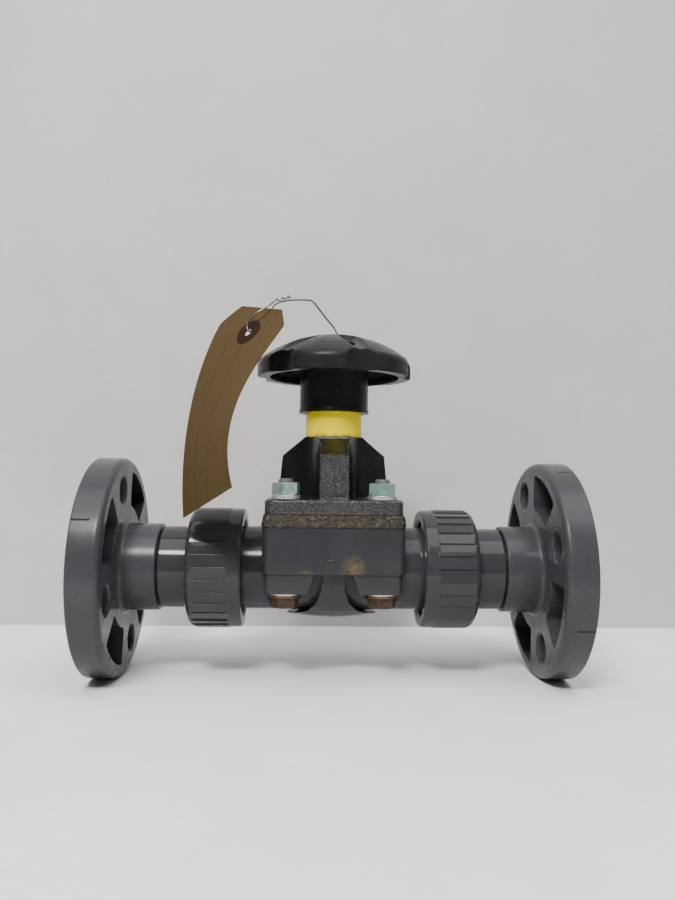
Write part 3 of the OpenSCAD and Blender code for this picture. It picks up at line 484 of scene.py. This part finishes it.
NODE_LOOKS = {
    "valve_body": "body_pvc", "diaphragm": "diaphragm_rubber", "bonnet": "black_iron",
    "compressor": "black_iron", "diaphragm_stud": "turned_steel", "compressor_pins": "turned_steel",
    "thrust_washer": "brass", "bonnet_bolts": "rusty_steel", "bonnet_nuts": "zinc_steel",
    "upper_washers": "washer_steel", "lower_washers": "rusty_washer", "spindle_bush": "brass",
    "spindle_seal": "seal_rubber", "indicator_sleeve": "yellow_plastic", "spindle": "turned_steel",
    "handwheel": "black_plastic", "wheel_washer": "washer_steel", "wheel_nut": "zinc_steel",
    "tag": "kraft_paper", "tag_patch": "red_board", "tag_wire": "bright_wire",
}
for end in ("inlet", "outlet"):
    NODE_LOOKS[end + "_oring"] = "seal_rubber"
    NODE_LOOKS[end + "_tail"] = "fitting_pvc"
    NODE_LOOKS[end + "_nipple"] = "fitting_pvc"
    NODE_LOOKS[end + "_flange"] = "flange_pvc"
    NODE_LOOKS[end + "_union_nut"] = "nut_pvc"


def dress(piece, look):
    """Gives a piece or a CAD object one of the materials."""
    piece.data.materials.clear()
    piece.data.materials.append(LOOKS[look])


for node_name, look_name in NODE_LOOKS.items():
    dress(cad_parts[node_name], look_name)

# ---------------------------------------------------------------- mesh helpers


def link(name, mesh):
    piece = bpy.data.objects.new(name, mesh)
    bpy.context.scene.collection.objects.link(piece)
    return piece


def evaluated(piece):
    """The piece's mesh with its modifiers applied; the piece is removed."""
    graph = bpy.context.evaluated_depsgraph_get()
    mesh = bpy.data.meshes.new_from_object(piece.evaluated_get(graph))
    bpy.data.objects.remove(piece)
    return mesh


def softened(name, node, voxel, passes):
    """A closed skin over a CAD node with the soft edges and blends of a moulding or casting."""
    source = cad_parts[node]
    copy = link(name + "_source", source.data.copy())
    remesh = copy.modifiers.new("skin", "REMESH")
    remesh.mode = "VOXEL"
    remesh.voxel_size = voxel * 1
    remesh.use_smooth_shade = True
    smooth = copy.modifiers.new("soften", "SMOOTH")
    smooth.factor = 0.5
    smooth.iterations = passes
    mesh = evaluated(copy)
    mesh.name = name
    mesh.polygons.foreach_set("use_smooth", [True] * len(mesh.polygons))
    return link(name, mesh)


def stand_for(piece, node, body, look):
    """Hands a finished piece to the frame: its body, the node it replaces and its look."""
    dress(piece, look)
    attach(piece, body)
    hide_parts(node)


# ---------------------------------------------------------------- moulded and cast pieces


def roughened(piece, amount, scale, where):
    """Pushes a piece's surface in and out with seeded noise where the given test holds."""
    mesh = piece.data
    normals = [vertex.normal.copy() for vertex in mesh.vertices]
    places = [vertex.co.copy() for vertex in mesh.vertices]
    for k, (place, normal) in enumerate(zip(places, normals)):
        share = where(place)
        if share > 0:
            lump = perlin.noise(place * scale) + 0.5 * perlin.noise(place * scale * 2.3)
            places[k] = place + normal * (amount * share * lump)
    mesh.vertices.foreach_set("co", [c for place in places for c in place])
    mesh.update()
    return piece


def cast_share(place):
    """How coarse the bonnet's casting is at a place: its flange's edge and its four flat panels."""
    on_flange = place.z < 0.0482
    on_front = abs(place.x) < 0.0098 and abs(place.y) > 0.034
    on_side = abs(place.y) < 0.007 and abs(place.x) > 0.0355
    on_panel = (on_front or on_side) and place.z < 0.0765
    return 1.0 if on_flange or on_panel else 0.12


def rim_share(place):
    """How dirty the diaphragm is at a place: only its rim, outside the clamped faces."""
    beyond = max(abs(place.x) - 0.0445, abs(place.y) - 0.0375)
    return min(1.0, max(0.0, beyond / 0.001))


stand_for(softened("handwheel_moulding", "handwheel", 0.6 * MM, 3), "handwheel", "handwheel_set",
          "black_plastic")
stand_for(roughened(softened("bonnet_casting", "bonnet", 0.55 * MM, 2), 0.24 * MM, 760, cast_share),
          "bonnet", "valve", "black_iron")


def add_diaphragm():
    """The diaphragm: a softened skin over its CAD node, with a roughened rim."""
    piece = softened("diaphragm_moulding", "diaphragm", 0.6 * MM, 2)
    roughened(piece, 0.35 * MM, 430, rim_share)
    dress(piece, "diaphragm_rubber")
    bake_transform(piece)
    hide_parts("diaphragm")


add_diaphragm()

# ---------------------------------------------------------------- tag

TAG_LEFT = [(-73, -3, 184), (-97, -16, 142), (-103, -34, 85), (-96.5, -48, 36.5)]
TAG_RIGHT = [(-28, -52, 170), (-45, -63, 140), (-76, -82, 105), (-61, -98, 57)]
TAG_T = 0.5
CORNER_U, CORNER_T = 0.18, 0.11
HOLE_T, HOLE_U, HOLE_R = 0.16, 0.54, 3.3
PATCH_R, PATCH_T = 9.8, 0.3
ROWS, COLS = 60, 14
RING_SPOKES = 56
HOLE_RINGS, RING_SPREAD = 3, 1.4
# the part of the paper's grid that the hole's surround takes the place of
TOP_ROW, LOW_ROW = 3, 17
LEFT_COL, RIGHT_COL = 4, 11
STEP, FINE_STEP = 0.01, 0.001


def bezier(points, t):
    a, b, c, d = (Vector(p) for p in points)
    return (1 - t) ** 3 * a + 3 * (1 - t) ** 2 * t * b + 3 * (1 - t) * t * t * c + t ** 3 * d


def tag_point(t, u):
    """Place on the middle of the paper, in millimetres: t runs down the tag, u across it."""
    return bezier(TAG_LEFT, t).lerp(bezier(TAG_RIGHT, t), u)


def tag_normal(t, u):
    across = tag_point(t, u + STEP) - tag_point(t, u - STEP)
    down = tag_point(t + STEP, u) - tag_point(t - STEP, u)
    return across.cross(down).normalized()


def hole_frame():
    """Centre of the tag's hole, and two directions in the paper there."""
    across = (tag_point(HOLE_T, HOLE_U + STEP) - tag_point(HOLE_T, HOLE_U - STEP)).normalized()
    down = tag_normal(HOLE_T, HOLE_U).cross(across)
    return tag_point(HOLE_T, HOLE_U), across, down


def sheet_piece(name, places, faces, thickness):
    """Closed sheet of the given thickness from (t, u) places, with UVs that follow the tag."""
    mesh = bmesh.new()
    uv_layer = mesh.loops.layers.uv.new("paper")
    layers = []
    for side in (-0.5, 0.5):
        layers.append([mesh.verts.new((tag_point(t, u) + side * thickness * tag_normal(t, u)) * MM)
                       for t, u in places])
    rim = {}
    for face in faces:
        mesh.faces.new([layers[1][i] for i in face])
        mesh.faces.new([layers[0][i] for i in reversed(face)])
        for a, b in zip(face, face[1:] + face[:1]):
            if rim.pop((b, a), None) is None:
                rim[(a, b)] = True
    for a, b in rim:
        mesh.faces.new([layers[0][a], layers[0][b], layers[1][b], layers[1][a]])
    mesh.verts.index_update()
    for face in mesh.faces:
        face.smooth = True
        for loop in face.loops:
            t, u = places[loop.vert.index % len(places)]
            loop[uv_layer].uv = (u, t)
    bmesh.ops.recalc_face_normals(mesh, faces=mesh.faces[:])
    for edge in mesh.edges:
        if len(edge.link_faces) == 2 and edge.calc_face_angle() > math.radians(50):
            edge.smooth = False
    data = bpy.data.meshes.new(name)
    mesh.to_mesh(data)
    mesh.free()
    return link(name, data)


def corner_cut(t):
    return CORNER_U * max(0, 1 - t / CORNER_T)


def near_hole(radius, turn):
    """(t, u) of the point of the paper at a distance and a turn round the hole's centre."""
    centre, across, down = hole_frame()
    aim = centre + radius * (math.cos(turn) * across + math.sin(turn) * down)
    t, u = HOLE_T, HOLE_U
    for _ in range(8):
        miss = aim - tag_point(t, u)
        along_u = (tag_point(t, u + FINE_STEP) - tag_point(t, u - FINE_STEP)) / (2 * FINE_STEP)
        along_t = (tag_point(t + FINE_STEP, u) - tag_point(t - FINE_STEP, u)) / (2 * FINE_STEP)
        uu, ut, tt = along_u.dot(along_u), along_u.dot(along_t), along_t.dot(along_t)
        mu, mt = miss.dot(along_u), miss.dot(along_t)
        scale = uu * tt - ut * ut
        u += (mu * tt - mt * ut) / scale
        t += (mt * uu - mu * ut) / scale
    return t, u


def grid_index(row, col):
    return row * (COLS + 1) + col


def paper_grid():
    """(t, u) places of the whole tag, row by row, and its faces apart from those round the hole."""
    places = []
    for row in range(ROWS + 1):
        cut = corner_cut(row / ROWS)
        places += [(row / ROWS, cut + (1 - 2 * cut) * col / COLS) for col in range(COLS + 1)]
    faces = []
    for row in range(ROWS):
        for col in range(COLS):
            if not (TOP_ROW <= row < LOW_ROW and LEFT_COL <= col < RIGHT_COL):
                a, c = grid_index(row, col), grid_index(row + 1, col)
                faces.append([a, a + 1, c + 1, c])
    return places, faces


def surround_border():
    """Indices of the grid's places round the hole's surround, in order."""
    border = [(TOP_ROW, col) for col in range(LEFT_COL, RIGHT_COL)]
    border += [(row, RIGHT_COL) for row in range(TOP_ROW, LOW_ROW)]
    border += [(LOW_ROW, col) for col in range(RIGHT_COL, LEFT_COL, -1)]
    border += [(row, LEFT_COL) for row in range(LOW_ROW, TOP_ROW, -1)]
    return [grid_index(row, col) for row, col in border]


def add_surround(places, faces):
    """Fills the grid's gap with rings of faces that end at the round hole."""
    border = surround_border()
    centre, across, down = hole_frame()
    turns = []
    for index in border:
        away = tag_point(*places[index]) - centre
        turns.append(math.atan2(away.dot(down), away.dot(across)))
    outer = border
    for ring in range(HOLE_RINGS, -1, -1):
        share = (ring / (HOLE_RINGS + 1)) ** RING_SPREAD
        made = []
        for index, turn in zip(border, turns):
            t, u = near_hole(HOLE_R, turn)
            far_t, far_u = places[index]
            places.append((t + (far_t - t) * share, u + (far_u - u) * share))
            made.append(len(places) - 1)
        for k in range(len(border)):
            n = (k + 1) % len(border)
            faces.append([outer[k], outer[n], made[n], made[k]])
        outer = made


def add_paper():
    """The paper tag with its round hole."""
    places, faces = paper_grid()
    add_surround(places, faces)
    paper = sheet_piece("tag_paper", places, faces, TAG_T)
    stand_for(paper, "tag", "tag_set", "kraft_paper")


def add_patch():
    """The red-brown ring stuck on both sides of the paper round its hole."""
    radii = [HOLE_R + 0.02, HOLE_R + 1.2, 0.5 * (HOLE_R + PATCH_R), PATCH_R - 0.6, PATCH_R]
    places = [near_hole(r, 2 * math.pi * k / RING_SPOKES) for r in radii for k in range(RING_SPOKES)]
    faces = []
    for start in range(0, (len(radii) - 1) * RING_SPOKES, RING_SPOKES):
        for k in range(RING_SPOKES):
            a, b = start + k, start + (k + 1) % RING_SPOKES
            faces.append([a, b, b + RING_SPOKES, a + RING_SPOKES])
    patch = sheet_piece("tag_ring", places, faces, TAG_T + 2 * PATCH_T)
    stand_for(patch, "tag_patch", "tag_set", "red_board")


add_paper()
add_patch()

# ---------------------------------------------------------------- stage and light


def one_sided(look):
    """Leaves a stage sheet open from its back, so that the valve can be seen through it."""
    back = look.node("ShaderNodeNewGeometry").outputs["Backfacing"]
    either = look.node("ShaderNodeMixShader")
    clear = look.node("ShaderNodeBsdfTransparent")
    look.feed(either.inputs[0], back)
    look.feed(either.inputs[1], look.shader.outputs[0])
    look.feed(either.inputs[2], clear.outputs[0])
    look.feed(look.surface, either.outputs[0])


def stage_paint(name, colour):
    """Matt paint with a faint cloudiness and a fine grain, open from the sheet's back."""
    look = Look(name)
    cloudy = look.between(look.noise(9, 8, 0.66), 0.3, 0.7)
    shade = look.blend(cloudy, scaled(colour, 0.93), scaled(colour, 1.05))
    fine = look.between(look.noise(160, 6, 0.7), 0.35, 0.7)
    shade = look.blend(look.math("MULTIPLY", fine, 0.35), shade, scaled(colour, 0.9))
    look.constant(Base_Color=shade, Roughness=0.75, Normal=look.bump(look.noise(230, 6, 0.7), 0.0012, 0.35))
    one_sided(look)
    return look.material


def add_sheet(name, corners, colour):
    """A flat part of the stage, whose front faces the valve."""
    mesh = bpy.data.meshes.new(name)
    mesh.from_pydata(corners, [], [(0, 1, 2, 3)])
    mesh.materials.append(stage_paint(name + "_paint", colour))
    link(name, mesh)


def add_stage():
    """Pale table top with a pale wall behind the valve."""
    left, right, top = -STAGE_HALF_WIDTH, STAGE_HALF_WIDTH, FLOOR_Z + WALL_HEIGHT
    add_sheet("floor", [(left, FLOOR_FRONT, FLOOR_Z), (right, FLOOR_FRONT, FLOOR_Z),
                        (right, FLOOR_BACK, FLOOR_Z), (left, FLOOR_BACK, FLOOR_Z)], FLOOR_PAINT)
    add_sheet("backdrop", [(left, WALL_Y, FLOOR_Z), (right, WALL_Y, FLOOR_Z),
                           (right, WALL_Y, top), (left, WALL_Y, top)], WALL_PAINT)


def add_area(name, place, target, size, power):
    data = bpy.data.lights.new(name, "AREA")
    data.shape = "RECTANGLE"
    data.size, data.size_y = size
    data.energy = power
    lamp = bpy.data.objects.new(name, data)
    place = Vector(place)
    lamp.location = place
    lamp.rotation_euler = (Vector(target) - place).to_track_quat("-Z", "Y").to_euler()
    bpy.context.scene.collection.objects.link(lamp)


def add_light():
    """A small key light from the left, a wide soft ceiling, and a dim world that looks pale."""
    world = bpy.data.worlds.new("studio")
    bpy.context.scene.world = world
    world.use_nodes = True
    nodes, links = world.node_tree.nodes, world.node_tree.links
    nodes["Background"].inputs["Color"].default_value = (0.93, 0.95, 1, 1)
    seen = nodes.new("ShaderNodeMapRange")
    seen.inputs["To Min"].default_value = WORLD_LIGHT
    seen.inputs["To Max"].default_value = WORLD_SEEN
    links.new(nodes.new("ShaderNodeLightPath").outputs["Is Camera Ray"], seen.inputs["Value"])
    links.new(seen.outputs[0], nodes["Background"].inputs["Strength"])
    add_area("key", (-0.31, -1.08, 1.08), (-0.03, 0, 0.02), (0.42, 0.25), 24)
    add_area("ceiling", (0.1, -0.75, 2.0), (0, 0.05, 0), (2.6, 1.6), 54)


add_stage()
add_light()
